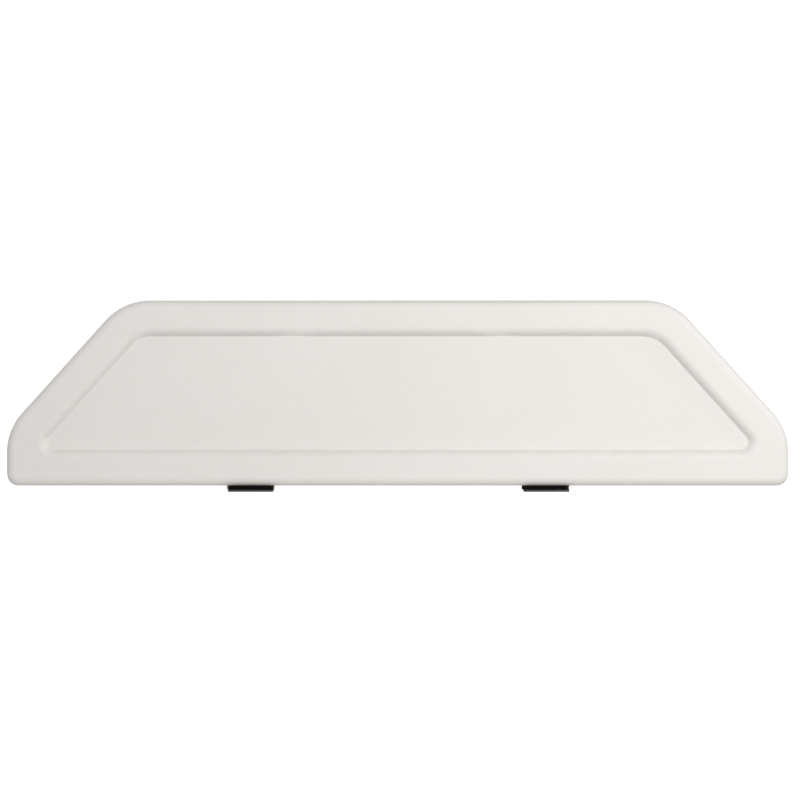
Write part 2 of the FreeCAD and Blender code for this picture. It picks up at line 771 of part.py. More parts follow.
def pin_clip(side):
    """The open spring clip in the pin's groove."""
    x = hinge_middle(side) - s.hinge_width / 2 - s.running_fit - s.clip_thick
    at = (x, hinge_y, s.barrel_radius)
    seat = s.pin_radius - s.groove_depth + s.thread_play
    outside = rod(f"{side}_clip_outside", s.clip_radius, s.clip_thick, at, "x")
    inside = rod(f"{side}_clip_seat", seat, s.clip_thick, at, "x")
    mouth = box(
        f"{side}_clip_mouth",
        (x, hinge_y - s.clip_mouth / 2, s.barrel_radius),
        (s.clip_thick, s.clip_mouth, s.clip_radius + 1),
    )
    return cut(f"{side}_pin_clip", outside, [inside, mouth])


def thrust_washers(side):
    """Nylon washers in the four gaps between knuckles."""
    play = (s.knuckle_gap - s.washer_thick) / 2
    gaps = []
    for x, length in leaf_knuckles():
        gaps.append(x - s.knuckle_gap + play)
        gaps.append(x + length + play)
    washers = []
    for i, x in enumerate(gaps):
        at = (hinge_middle(side) + x, hinge_y, s.barrel_radius)
        outer = s.barrel_radius - s.running_fit
        outside = rod(f"{side}_washer_outside_{i}", outer, s.washer_thick, at, "x")
        bore = s.pin_radius + s.running_fit
        inside = rod(f"{side}_washer_bore_{i}", bore, s.washer_thick, at, "x")
        washers.append(cut(f"{side}_washer_{i}", outside, [inside]))
    return group(f"{side}_thrust_washers", washers)


def knuckle_bushes(side):
    """Nylon sleeves between the pin and the panel leaf's knuckles."""
    sleeves = []
    for i, (x, length) in enumerate(leaf_knuckles()):
        at = (hinge_middle(side) + x, hinge_y, s.barrel_radius)
        bore = s.pin_radius + s.running_fit
        outside = rod(f"{side}_bush_outside_{i}", bore + s.bush_wall, length, at, "x")
        inside = rod(f"{side}_bush_bore_{i}", bore, length, at, "x")
        sleeves.append(cut(f"{side}_bush_{i}", outside, [inside]))
    return group(f"{side}_knuckle_bushes", sleeves)


# Writing ---------------------------------------------------------------------------------


def check(pieces):
    """Raises if any object failed or any piece has no valid solid."""
    doc.recompute()
    for thing in doc.Objects:
        if {"Invalid", "Error"} & set(thing.State):
            raise RuntimeError(f"{thing.Name} failed: {thing.State}")
    for piece in pieces:
        if piece.Shape.isNull() or not piece.Shape.isValid() or not piece.Shape.Solids:
            raise RuntimeError(f"{piece.Name} has no valid solid")


def write(pieces):
    os.makedirs("parts", exist_ok=True)
    for piece in pieces:
        piece.Label = piece.Name
        piece.Shape.exportStep(os.path.join("parts", f"{piece.Label}.step"))


doc = FreeCAD.newDocument("splash_panel")
s = make_sheet()

# Places that several pieces share.
top_corner = s.panel_width / 2 - (s.panel_height - s.side_height) / turned("tan", s.slope_angle)
rim_inner = s.front_round + s.rim_hollow
leaf_half = s.hinge_width / 2
leaf_knuckle = (s.hinge_width - 3 * s.base_knuckle - 4 * s.knuckle_gap) / 2
bolt_hole = s.bolt_radius + s.bolt_clearance
hinge_y = (s.toe_reach - s.tail_reach) / 2
panel_rear = hinge_y - s.barrel_radius - s.gasket_thick
panel_bottom = s.plate_thick + s.stop_gap + s.pad_thick
axis_on_panel = s.barrel_radius - panel_bottom
panel_rear_drop = s.barrel_radius + (hinge_y - panel_rear)

pieces = [front_shell(), rear_cover(), edge_seal(), cover_screws(), boss_inserts()]
for side in SIDES:
    for make in (
        base_leaf,
        panel_leaf,
        hinge_pin,
        pin_clip,
        thrust_washers,
        knuckle_bushes,
        leaf_gasket,
        leaf_screws,
        nut_plate,
        stop_pad,
        bumper,
    ):
        pieces.append(make(side))
check(pieces)
write(pieces)
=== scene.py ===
"""Looks of a fold-down splash panel: an off-white moulded shell with a sunk field, its rear
cover, seal and screws, and two black butt hinges with rubber stops, on a white floor.

Metres. +X along the panel, -Y the front, +Z up, as in the frame."""

import json
import math

import bmesh
import bpy
import numpy as np
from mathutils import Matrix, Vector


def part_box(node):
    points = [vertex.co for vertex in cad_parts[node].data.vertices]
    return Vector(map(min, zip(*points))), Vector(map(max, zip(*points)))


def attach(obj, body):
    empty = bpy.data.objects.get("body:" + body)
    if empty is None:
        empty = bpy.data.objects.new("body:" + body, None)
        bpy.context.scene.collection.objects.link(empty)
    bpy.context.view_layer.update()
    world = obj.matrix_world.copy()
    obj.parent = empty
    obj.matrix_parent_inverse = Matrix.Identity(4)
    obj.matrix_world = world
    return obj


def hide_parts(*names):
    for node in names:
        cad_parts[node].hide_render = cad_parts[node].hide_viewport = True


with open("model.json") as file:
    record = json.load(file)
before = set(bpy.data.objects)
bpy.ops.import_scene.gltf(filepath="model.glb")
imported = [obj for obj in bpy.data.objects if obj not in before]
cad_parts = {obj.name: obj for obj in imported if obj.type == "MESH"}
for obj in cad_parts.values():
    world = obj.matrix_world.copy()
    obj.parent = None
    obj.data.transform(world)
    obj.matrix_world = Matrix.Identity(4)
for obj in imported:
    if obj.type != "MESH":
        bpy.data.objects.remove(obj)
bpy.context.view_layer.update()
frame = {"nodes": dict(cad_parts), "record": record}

MM = 0.001
NODES = frame["nodes"]
RECORD = frame["record"]
SLOT_OF = {part["node"]: part["material_slot"] for part in RECORD["subparts"]}
BODY_OF = {node: body for body, nodes in RECORD["behaviour"]["bodies"].items() for node in nodes}
SIDES = ("left", "right")

# Outline and section of the panel, from the frame where it says them.
SHELL_LOW, SHELL_HIGH = (np.array(corner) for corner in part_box("front_shell"))
HALF_WIDTH = SHELL_HIGH[0]
BOTTOM = SHELL_LOW[2]
HEIGHT = SHELL_HIGH[2] - SHELL_LOW[2]
FRONT = SHELL_LOW[1]
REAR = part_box("rear_cover")[1][1]
DEPTH = REAR - FRONT
SIDE_HEIGHT = 57 * MM
SLOPE = math.radians(48)
CORNER_ROUND = 61 * MM
FOOT_ROUND = 12 * MM
LEAST_ROUND = 2 * MM
FRONT_ROUND = 8 * MM
SKIN = 3 * MM
COVER_THICK = 3 * MM
COVER_ROUND = 2 * MM
SEAL_THICK = 1 * MM
SEAL_LAP = 0.8 * MM
LIP_ROUND = 0.5 * MM
FIELD_INSET = 36.4 * MM
FIELD_DEPTH = 7 * MM
FIELD_FOOT_ROUND = 8.2 * MM
FIELD_TOP_ROUND = 36 * MM
FIELD_LEAN = math.radians(57)
RIM_ROLL = 9 * MM
FLOOR_ROUND = 0.8 * MM
RIM_HOLLOW = 17 * MM
EASE = 0.9 * MM

# Points along each arc of the outlines and sections
CORNER_POINTS = 28
FRONT_POINTS = 15
ROLL_POINTS = 18
HOLLOW_POINTS = 7
COVER_POINTS = 8
LIP_POINTS = 4
SEAL_POINTS = 7
PAD_POINTS = 5
PAD_CORNER_POINTS = 8
DOME_POINTS = 7
RECESS_POINTS = 16
TIP_POINTS = 8
AROUND = 36

# Angles in degrees: where shading breaks, and where faces count as flat
PIECE_SHARP = 40
BUMPER_SHARP = 60
COPY_SHARP = 35
COPY_FLAT = 0.5

# Painted shade on the field's wall, from the field's edge: where it starts, is full and has gone
SHADE_START, SHADE_FULL, SHADE_GONE = -9 * MM, -0.5 * MM, 1.2 * MM
# Distances over which it grows away from the bottom, the foot corners and the top corners
OFF_BOTTOM, OFF_FOOT, OFF_TOP = (2 * MM, 14 * MM), (2 * MM, 18 * MM), (0, 10 * MM)
# What is left of it along the bottom and at the top corners
LEFT_BOTTOM, LEFT_TOP = 0.4, 0.35

# Screws, bumpers and softened edges
MERGE = 0.002 * MM
HEAD_THICK = {"cover_screws": 2.1 * MM, "leaf_screws": 2.6 * MM}
SHANK_RADIUS = {"cover_screws": 1.75 * MM, "leaf_screws": 2.0 * MM}
THREAD_PITCH = {"cover_screws": 1.25 * MM, "leaf_screws": 0.7 * MM}
THREAD_DEEP = 0.3 * MM
THREAD_STEPS = 6
THREAD_START = 0.35
HEAD_EDGE = 0.1 * MM
BUMPER_TIP = 6.5 * MM
BUMPER_TIP_ROUND = 1.4 * MM
BUMPER_STEM = 2.5 * MM
BUMPER_BULB = 4 * MM
BULB_HEIGHT = 3 * MM
PAD_EDGE = 0.5 * MM
PAD_CORNER = 1.2 * MM
LEAST_CORNER = 0.1 * MM
BEVEL_STEPS = 2
EDGE_ROUND = {
    "base_leaf": 0.25 * MM,
    "panel_leaf": 0.25 * MM,
    "hinge_pin": 0.3 * MM,
    "pin_clip": 0.08 * MM,
    "thrust_washers": 0.08 * MM,
    "knuckle_bushes": 0.08 * MM,
    "leaf_gasket": 0.2 * MM,
    "nut_plate": 0.25 * MM,
    "boss_inserts": 0.2 * MM,
}
# Shares of a screw head's thickness: its rounding, its dome's rise and its recess's depth
HEAD_OVER, HEAD_DOME, RECESS_DEEP = 0.55, 0.12, 0.5
# Shares of the head's radius: the recess arms' half width and length and their sides' slope
ARM_WIDE, ARM_LONG, ARM_SLOPE = 0.13, 0.56, 0.06
# How much shallower an arm is at its end
ARM_RISE = 0.55
# Share of the dome's radius at which the innermost ring ends
DOME_END = 0.03

# Stage: how bright the floor and room are to the object and to the camera
FLOOR_RADIUS = 40
FLOOR_LOW = 0.3 * MM
FLOOR_SIDES = 96
FLOOR_GLOW, FLOOR_GLOW_SEEN, FLOOR_TONE_SEEN = 0.49, 0.88, 0.4
ROOM_GLOW, ROOM_GLOW_SEEN = 0.38, 1.05
# Lights: place, point aimed at, side of the square, power
LIGHTS = {
    "key": ((0.45, FRONT - 1.42, 0.31), (0, FRONT, BOTTOM + HEIGHT / 2), 0.7, 13.1),
    "right_rim": ((0.85, -0.15, 0.45), (0.36, -0.02, 0.11), 0.35, 1.1),
    "left_rim": ((-0.85, -0.15, 0.45), (-0.36, -0.02, 0.11), 0.35, 0.6),
    "rear_fill": ((-0.5, 1.4, 0.7), (0, 0, 0.1), 0.9, 9),
}
# Camera: lens and sensor in mm, width seen at the panel's front, and the eye's x and height
LENS, SENSOR = 250, 36
SEEN_WIDTH = 0.8195
EYE_X, EYE_HEIGHT = 0.00256, 0.0939


# Surfaces ----------------------------------------------------------------------------------


def ring_of(corners, rounds, counts):
    """Points round a convex outline, counter-clockwise. A corner with round r and half angle a
    has its arc's middle r / sin a from the sharp point, along the halving line."""
    corners = np.array(corners, float)
    rounds = np.array(rounds, float)[:, None]
    back = np.roll(corners, 1, axis=0) - corners
    ahead = np.roll(corners, -1, axis=0) - corners
    back /= np.linalg.norm(back, axis=1, keepdims=True)
    ahead /= np.linalg.norm(ahead, axis=1, keepdims=True)
    halving = back + ahead
    halving /= np.linalg.norm(halving, axis=1, keepdims=True)
    half = np.arccos(np.clip((back * halving).sum(axis=1, keepdims=True), -1, 1))
    middles = corners + halving * rounds / np.sin(half)
    starts = corners + back * rounds / np.tan(half) - middles
    first = np.arctan2(starts[:, 1], starts[:, 0])
    turn = np.pi - 2 * half[:, 0]
    arcs = []
    for middle, radius, angle, sweep, count in zip(middles, rounds, first, turn, counts):
        angles = angle + sweep * np.linspace(0, 1, count)
        arcs.append(middle + radius * np.stack([np.cos(angles), np.sin(angles)], axis=1))
    return np.concatenate(arcs)


def top_half(inset):
    """Half the length of the top edge, moved in by an inset, to the sharp corner."""
    outer = HALF_WIDTH - (HEIGHT - SIDE_HEIGHT) / math.tan(SLOPE)
    return outer - inset * math.tan(SLOPE / 2)


def panel_ring(inset):
    """The panel's six-cornered outline moved in by an inset."""
    half = HALF_WIDTH - inset
    shoulder = SIDE_HEIGHT - inset * math.tan((math.pi / 2 - SLOPE) / 2)
    top = top_half(inset)
    right = [(half, inset), (half, shoulder), (top, HEIGHT - inset)]
    left = [(-x, y) for x, y in reversed(right)]
    round_corner = max(CORNER_ROUND - inset, LEAST_ROUND)
    round_foot = max(FOOT_ROUND - inset, LEAST_ROUND)
    rounds = [round_foot, round_corner, round_corner]
    return ring_of(right + left, rounds + rounds[::-1], [CORNER_POINTS] * 6)


def field_ring(inset):
    """The sunk field's four-cornered outline at an inset from the panel's outline. Its foot
    arcs carry the points of the panel's foot and shoulder arcs together."""
    top = top_half(inset)
    foot = top + (HEIGHT - 2 * inset) / math.tan(SLOPE)
    corners = [(foot, inset), (top, HEIGHT - inset), (-top, HEIGHT - inset), (-foot, inset)]
    round_top = FIELD_TOP_ROUND + FIELD_INSET - inset
    round_foot = FIELD_FOOT_ROUND + FIELD_INSET - inset
    counts = [2 * CORNER_POINTS, CORNER_POINTS, CORNER_POINTS, 2 * CORNER_POINTS]
    return ring_of(corners, [round_foot, round_top, round_top, round_foot], counts)


def slab_ring(low, high, corner, inset):
    """The outline of a rectangle with rounded corners, moved in by an inset."""
    (x0, y0), (x1, y1) = low + inset, high - inset
    corners = [(x1, y0), (x1, y1), (x0, y1), (x0, y0)]
    return ring_of(corners, [max(corner - inset, LEAST_CORNER)] * 4, [PAD_CORNER_POINTS] * 4)


def arc(radius, start, stop, count, middle=(0, 0)):
    """Points of a section's arc: the middle plus (radius * sin a, radius * cos a), with the
    angle a in degrees. A negative radius gives the arc opposite, for a hollow."""
    angles = np.radians(np.linspace(start, stop, count))
    across = middle[0] + radius * np.sin(angles)
    up = middle[1] + radius * np.cos(angles)
    return list(zip(across.tolist(), up.tolist()))


def ring_quads(rings, count):
    """Faces between neighbouring closed rings of equal length, as an array of quads."""
    across = np.arange(count)
    ahead = (across + 1) % count
    base = (np.arange(rings - 1) * count)[:, None]
    quads = [base + across, base + ahead, base + count + ahead, base + count + across]
    return np.stack(quads, axis=-1).reshape(-1, 4)


def capped(rings):
    """Vertices and faces of a stack of closed rings, with a flat face over each end."""
    rings = np.array(rings)
    layers, count = rings.shape[:2]
    faces = ring_quads(layers, count).tolist()
    last = (layers - 1) * count
    faces.append(list(range(count))[::-1])
    faces.append(list(range(last, last + count)))
    return rings.reshape(-1, 3), faces


def on_panel(ring, depth):
    """An outline ring placed at a distance in front of the panel's rear face."""
    return np.stack([ring[:, 0], np.full(len(ring), REAR - depth), ring[:, 1] + BOTTOM], axis=1)


def looped(rings):
    """Vertices and faces of a closed tube: rings whose last one meets the first again."""
    rings = np.array(rings)
    layers, count = rings.shape[:2]
    faces = ring_quads(layers + 1, count) % (layers * count)
    return rings.reshape(-1, 3), faces.tolist()


def joined(parts):
    """Several shapes' vertices and faces as one."""
    points, faces, start = [], [], 0
    for part_points, part_faces in parts:
        points.append(part_points)
        faces += [[start + i for i in face] for face in part_faces]
        start += len(part_points)
    return np.concatenate(points), faces


def turned(radii, along, middle):
    """A closed shape turned about a line from front to rear: each stop is a circle of its own
    radius at its own y. Radii and y may vary with the angle too."""
    angles = 2 * np.pi * np.arange(AROUND) / AROUND
    radii, along, angles = np.broadcast_arrays(radii, along, angles)
    across = middle[0] + radii * np.cos(angles)
    up = middle[2] + radii * np.sin(angles)
    return capped(np.stack([across, along, up], axis=-1))


def stops(*pairs):
    """Radius and distance columns from pairs of them."""
    table = np.array(pairs, float)
    return table[:, :1], table[:, 1:]


def outward(mesh):
    """Turns a closed mesh's faces outwards where its volume, the sum of the signed volumes
    between its triangles and the origin, comes out negative."""
    mesh.calc_loop_triangles()
    points = np.empty(len(mesh.vertices) * 3)
    mesh.vertices.foreach_get("co", points)
    corners = np.empty(len(mesh.loop_triangles) * 3, int)
    mesh.loop_triangles.foreach_get("vertices", corners)
    a, b, c = points.reshape(-1, 3)[corners.reshape(-1, 3)].transpose(1, 0, 2)
    if (a * np.cross(b, c)).sum() < 0:
        mesh.flip_normals()


def shown(name, mesh, node):
    """Puts a finished mesh in the scene in place of a node: its body, slot and finish are the
    node's own."""
    mesh.materials.clear()
    mesh.materials.append(finishes[SLOT_OF[node]])
    shape = bpy.data.objects.new(name, mesh)
    bpy.context.scene.collection.objects.link(shape)
    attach(shape, BODY_OF[node])
    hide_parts(node)
    return shape


def piece(name, parts, node, sharp=PIECE_SHARP):
    """A mesh piece in place of a node, smooth but where it turns by more than an angle."""
    points, faces = parts
    mesh = bpy.data.meshes.new(name)
    mesh.from_pydata(points.tolist(), [], faces)
    mesh.validate()
    outward(mesh)
    mesh.polygons.foreach_set("use_smooth", np.ones(len(mesh.polygons), bool))
    mesh.set_sharp_from_angle(angle=math.radians(sharp))
    shown(name, mesh, node)


def solids_of(node):
    """The lowest and highest corners of each separate solid of a node. Points that share a
    place count as one; each takes the lowest number among those that its edges reach, again
    and again until nothing changes."""
    mesh = NODES[node].data
    points = np.empty(len(mesh.vertices) * 3)
    mesh.vertices.foreach_get("co", points)
    points = points.reshape(-1, 3)
    edges = np.empty(len(mesh.edges) * 2, int)
    mesh.edges.foreach_get("vertices", edges)
    _, same = np.unique(np.round(points / MERGE), axis=0, return_inverse=True)
    same = same.reshape(-1)
    ends = same[edges.reshape(-1, 2)]
    tags, before = np.arange(same.max() + 1), None
    while before is None or (tags != before).any():
        before = tags.copy()
        lowest = tags[ends].min(axis=1, keepdims=True)
        np.minimum.at(tags, ends, np.broadcast_to(lowest, ends.shape))
    own = tags[same]
    groups = [points[own == tag] for tag in np.unique(own)]
    return [(group.min(axis=0), group.max(axis=0)) for group in groups]


def softened(node, width):
    """A merged copy of a node's mesh with its edges rounded off."""
    mesh = NODES[node].data.copy()
    form = bmesh.new()
    form.from_mesh(mesh)
    bmesh.ops.remove_doubles(form, verts=form.verts, dist=MERGE)
    flat = math.radians(COPY_FLAT)
    bmesh.ops.dissolve_limit(form, angle_limit=flat, verts=form.verts, edges=form.edges)
    form.to_mesh(mesh)
    form.free()
    mesh.polygons.foreach_set("use_smooth", np.ones(len(mesh.polygons), bool))
    mesh.set_sharp_from_angle(angle=math.radians(COPY_SHARP))
    shape = shown(f"{node}_form", mesh, node)
    edges = shape.modifiers.new("edges", "BEVEL")
    edges.width = width
    edges.segments = BEVEL_STEPS
    edges.limit_method = "ANGLE"
    edges.angle_limit = math.radians(COPY_SHARP)
    edges.harden_normals = True


# Shader maths --------------------------------------------------------------------------------


class Value:
    """A shader socket. Arithmetic on it adds Math nodes to its material."""

    def __init__(self, finish, socket):
        self.finish = finish
        self.socket = socket

    def maths(self, operation, first, second):
        return self.finish.node("ShaderNodeMath", {"operation": operation}, {0: first, 1: second})

    def __add__(self, other):
        return self.maths("ADD", self, other)

    def __radd__(self, other):
        return self.maths("ADD", other, self)

    def __sub__(self, other):
        return self.maths("SUBTRACT", self, other)

    def __rsub__(self, other):
        return self.maths("SUBTRACT", other, self)

    def __mul__(self, other):
        return self.maths("MULTIPLY", self, other)

    def __rmul__(self, other):
        return self.maths("MULTIPLY", other, self)

    def __abs__(self):
        return self.maths("ABSOLUTE", self, 0)

    def least(self, other):
        return self.maths("MINIMUM", self, other)


class Finish:
    """A procedural material on Object coordinates."""

    def __init__(self, name, **constants):
        self.material = bpy.data.materials.new(name)
        self.material.use_nodes = True
        self.tree = self.material.node_tree
        self.shader = self.tree.nodes["Principled BSDF"]
        for socket, value in constants.items():
            self.shader.inputs[socket.replace("_", " ")].default_value = value
        self.place = self.node("ShaderNodeTexCoord", {}, {}, "Object")

    def node(self, kind, settings, values, output=0):
        """Adds a node. Settings are its own properties; values are numbers or links for its
        sockets."""
        made = self.tree.nodes.new(kind)
        for name, value in settings.items():
            setattr(made, name, value)
        for name, value in values.items():
            if isinstance(value, Value):
                self.tree.links.new(value.socket, made.inputs[name])
            else:
                made.inputs[name].default_value = value
        return Value(self, made.outputs[output])

    def set(self, **links):
        """Links values to the shader's own sockets."""
        for name, value in links.items():
            self.tree.links.new(value.socket, self.shader.inputs[name.replace("_", " ")])

    def parts(self):
        """x, y and z of the place, as three values."""
        return [self.node("ShaderNodeSeparateXYZ", {}, {"Vector": self.place}, i) for i in range(3)]

    def noise(self, scale, detail, roughness, stretch=None):
        """Soft noise from 0 to 1, with so many features a metre, stretched if asked."""
        place = self.place
        if stretch:
            place = self.node("ShaderNodeMapping", {}, {"Vector": place, "Scale": stretch})
        values = {"Vector": place, "Scale": scale, "Detail": detail, "Roughness": roughness}
        return self.node("ShaderNodeTexNoise", {}, values)

    def between(self, value, low, high):
        """0 below low, 1 above high and a smooth step between them."""
        settings = {"interpolation_type": "SMOOTHSTEP"}
        return self.node("ShaderNodeMapRange", settings, {0: value, 1: low, 2: high})

    def mixed(self, factor, first, second):
        """A colour between two."""
        first, second = ((*c, 1) if isinstance(c, tuple) else c for c in (first, second))
        return self.node("ShaderNodeMix", {"data_type": "RGBA"}, {0: factor, 6: first, 7: second}, 2)

    def bumped(self, height, distance, strength):
        """A normal tilted by a height, so deep at most, in metres."""
        values = {"Height": height, "Distance": distance, "Strength": strength}
        return self.node("ShaderNodeBump", {}, values)


def wall_shade_mask(finish):
    """Where painted shade goes: up to 1 on the wall of the sunk field and its foot, 0 elsewhere,
    from how far a place is in from the nearest of the bottom edge, the top edge and a sloping edge,
    in front of the sunk floor's back. The painted shade is weaker along the bottom and in the
    corners."""
    x, y, z = finish.parts()
    up = z - BOTTOM
    along_slope = (HALF_WIDTH - abs(x)) * math.sin(SLOPE) + (SIDE_HEIGHT - up) * math.cos(SLOPE)
    inset = up.least(HEIGHT - up).least(along_slope)
    near = finish.between(inset, FIELD_INSET + SHADE_START, FIELD_INSET + SHADE_FULL)
    past = finish.between(inset, FIELD_INSET, FIELD_INSET + SHADE_GONE)
    behind = finish.between(y, FRONT + FIELD_DEPTH, FRONT + FIELD_DEPTH + SKIN)
    above_foot = finish.between(up, FIELD_INSET + OFF_BOTTOM[0], FIELD_INSET + OFF_BOTTOM[1])
    off_foot = finish.between(abs(up - along_slope), *OFF_FOOT)
    off_top = finish.between(abs(HEIGHT - up - along_slope), *OFF_TOP)
    along_bottom = LEFT_BOTTOM + (1 - LEFT_BOTTOM) * above_foot
    shade_share = along_bottom * off_foot * (LEFT_TOP + (1 - LEFT_TOP) * off_top)
    return near * (1 - past) * (1 - behind) * shade_share


def moulded_white(name, light, dark):
    """Off-white moulded plastic: cloudy tone, faint rubbed streaks, painted shade darkening the
    foot of the sunk field's wall, and orange peel."""
    finish = Finish(name, IOR=1.47, Specular_IOR_Level=0.3)
    clouds = finish.noise(9, 4, 0.55)
    mottle = finish.noise(95, 3, 0.6)
    streaks = finish.between(finish.noise(40, 5, 0.65, (0.35, 1, 2.2)), 0.64, 0.78)
    specks = finish.between(finish.noise(420, 2, 0.5), 0.73, 0.78)
    tone = finish.mixed(finish.between(0.65 * clouds + 0.35 * mottle, 0.3, 0.7), dark, light)
    worn = finish.mixed(0.22 * streaks, tone, tuple(0.86 * c for c in dark))
    dusty = finish.mixed(0.35 * specks, worn, tuple(0.78 * c for c in dark))
    # Painted shade: the foot of the sunk field's wall is darkened towards 0.80 of the dark tone
    shade_share = (0.34 + 0.22 * mottle) * wall_shade_mask(finish)
    shaded_tone = finish.mixed(shade_share, dusty, tuple(0.80 * c for c in dark))
    height = 0.7 * finish.noise(260, 2, 0.5) + 0.3 * finish.noise(1500, 2, 0.6)
    finish.set(
        Base_Color=shaded_tone,
        Roughness=0.44 + 0.14 * mottle + 0.10 * streaks,
        Normal=finish.bumped(height, 0.00006, 0.55),
    )
    return finish.material


def powder_black(name):
    """Black powder coat on steel plate: pebbled, with a little dust and rubbed patches."""
    finish = Finish(name, IOR=1.5)
    pebble = finish.noise(2600, 3, 0.6)
    dust = finish.between(finish.noise(160, 4, 0.6), 0.5, 0.75)
    rubbed = finish.between(finish.noise(420, 4, 0.7), 0.62, 0.74)
    base = finish.mixed(0.6 * dust, (0.026, 0.026, 0.026), (0.062, 0.060, 0.055))
    finish.set(
        Base_Color=finish.mixed(0.5 * rubbed, base, (0.085, 0.083, 0.08)),
        Roughness=0.42 + 0.2 * pebble + 0.12 * dust,
        Normal=finish.bumped(pebble, 0.00008, 0.6),
    )
    return finish.material


def black_rubber(name):
    """Matte black rubber with a fine grain and a grey bloom."""
    finish = Finish(name, IOR=1.5, Specular_IOR_Level=0.1)
    grain = finish.noise(3200, 3, 0.6)
    bloom = finish.between(finish.noise(130, 4, 0.6), 0.42, 0.8)
    finish.set(
        Base_Color=finish.mixed(0.6 * bloom, (0.003, 0.003, 0.003), (0.008, 0.008, 0.009)),
        Roughness=0.68 + 0.22 * grain,
        Normal=finish.bumped(grain, 0.00006, 0.7),
    )
    return finish.material


def plated_steel(name):
    """Zinc-plated steel: uneven bluish and yellowish tone with fine turned marks."""
    finish = Finish(name, Metallic=1.0)
    tint = finish.between(finish.noise(240, 3, 0.6), 0.35, 0.65)
    stain = finish.between(finish.noise(700, 4, 0.7), 0.55, 0.75)
    marks = finish.noise(2400, 3, 0.7, (0.4, 1, 1))
    tone = finish.mixed(tint, (0.60, 0.61, 0.63), (0.66, 0.63, 0.56))
    finish.set(
        Base_Color=finish.mixed(0.35 * stain, tone, (0.38, 0.37, 0.35)),
        Roughness=0.24 + 0.2 * marks + 0.15 * stain,
        Normal=finish.bumped(marks, 0.00003, 0.5),
    )
    return finish.material


def turned_brass(name):
    """Brass with dull patches and turned marks."""
    finish = Finish(name, Metallic=1.0)
    dull = finish.between(finish.noise(500, 3, 0.6), 0.4, 0.7)
    marks = finish.noise(2600, 3, 0.6, (1, 3, 1))
    finish.set(
        Base_Color=finish.mixed(dull, (0.80, 0.60, 0.28), (0.58, 0.42, 0.20)),
        Roughness=0.28 + 0.2 * marks,
        Normal=finish.bumped(marks, 0.00003, 0.5),
    )
    return finish.material


def plain_nylon(name):
    """Natural nylon: warm white, waxy, with a faint grain."""
    finish = Finish(name, IOR=1.53)
    cloud = finish.noise(600, 3, 0.6)
    finish.set(
        Base_Color=finish.mixed(cloud, (0.70, 0.67, 0.58), (0.80, 0.78, 0.71)),
        Roughness=0.38 + 0.2 * cloud,
        Normal=finish.bumped(cloud, 0.00003, 0.4),
    )
    return finish.material


# The panel -------------------------------------------------------------------------------


def front_moulding():
    """The shell as a closed skin. Its section runs from the back of the sunk floor, round the
    hollow rim and the rear lip, up the side, over the front rounding, and down the roll and
    the hollow foot of the roll to the sunk floor. Each stop of the section carries the outline
    at its own inset."""
    lip = COVER_THICK + SEAL_THICK
    floor = DEPTH - FIELD_DEPTH
    back_of_floor = floor - SKIN
    back_of_rim = DEPTH - SKIN
    rim_in = FRONT_ROUND + RIM_HOLLOW
    inside = [
        (rim_in, back_of_floor),
        (rim_in, back_of_rim),
        (FRONT_ROUND, back_of_rim),
        (FRONT_ROUND, back_of_floor),
        (SKIN, back_of_floor),
        (SKIN, lip),
    ]
    outside = arc(LIP_ROUND, 180, 270, LIP_POINTS, (LIP_ROUND, lip + LIP_ROUND))
    outside += arc(FRONT_ROUND, 270, 360, FRONT_POINTS, (FRONT_ROUND, DEPTH - FRONT_ROUND))
    outside.append((FRONT_ROUND + EASE, DEPTH))
    rings = [on_panel(panel_ring(inset), depth) for inset, depth in inside + outside]

    lean = math.degrees(FIELD_LEAN)
    rim_edge = FIELD_INSET - FIELD_DEPTH / math.tan(FIELD_LEAN)
    roll_start = rim_edge - RIM_ROLL * math.tan(FIELD_LEAN / 2)
    foot_end = FIELD_INSET + FLOOR_ROUND * math.tan(FIELD_LEAN / 2)
    section = [(roll_start - EASE, DEPTH)]
    section += arc(RIM_ROLL, 0, lean, ROLL_POINTS, (roll_start, DEPTH - RIM_ROLL))
    section += arc(-FLOOR_ROUND, lean, 0, HOLLOW_POINTS, (foot_end, floor + FLOOR_ROUND))
    section.append((foot_end + EASE, floor))
    rings += [on_panel(field_ring(inset), depth) for inset, depth in section]
    piece("front_moulding", capped(rings), "front_shell")


def rear_moulding():
    """The rear cover: from the flat rear face, over a rounding, up its edge and over a small
    rounding to the flat inner face."""
    section = [(COVER_ROUND + EASE, 0)]
    section += arc(COVER_ROUND, 180, 270, COVER_POINTS, (COVER_ROUND, COVER_ROUND))
    section += arc(LIP_ROUND, 270, 360, LIP_POINTS, (LIP_ROUND, COVER_THICK - LIP_ROUND))
    rings = [on_panel(panel_ring(inset), depth) for inset, depth in section]
    piece("rear_moulding", capped(rings), "rear_cover")


def seal_ring():
    """The seal between the cover and the shell's wall: a flat ring with rounded edges."""
    half = SEAL_THICK / 2
    middle = COVER_THICK + half
    outer = arc(half, 180, 360, SEAL_POINTS, (SEAL_LAP + half, middle))
    inner = arc(half, 0, 180, SEAL_POINTS, (SKIN - half, middle))
    rings = [on_panel(panel_ring(inset), depth) for inset, depth in outer + inner]
    piece("seal_ring", looped(rings), "edge_seal")


# Hardware --------------------------------------------------------------------------------


def cross_depth(radii, angles, head_radius, depth):
    """Depth of a cross recess at a place on a screw head: two arms, full depth inside them and
    a short slope at their sides, growing shallower towards their ends."""
    across, up = radii * np.cos(angles), radii * np.sin(angles)
    wide, long, slope = ARM_WIDE * head_radius, ARM_LONG * head_radius, ARM_SLOPE * head_radius
    arms = [np.minimum(wide - abs(a), long - abs(b)) for a, b in ((across, up), (up, across))]
    inside = np.clip(np.maximum(*arms) / slope, 0, 1)
    return depth * inside * (1 - ARM_RISE * np.minimum(radii / long, 1))


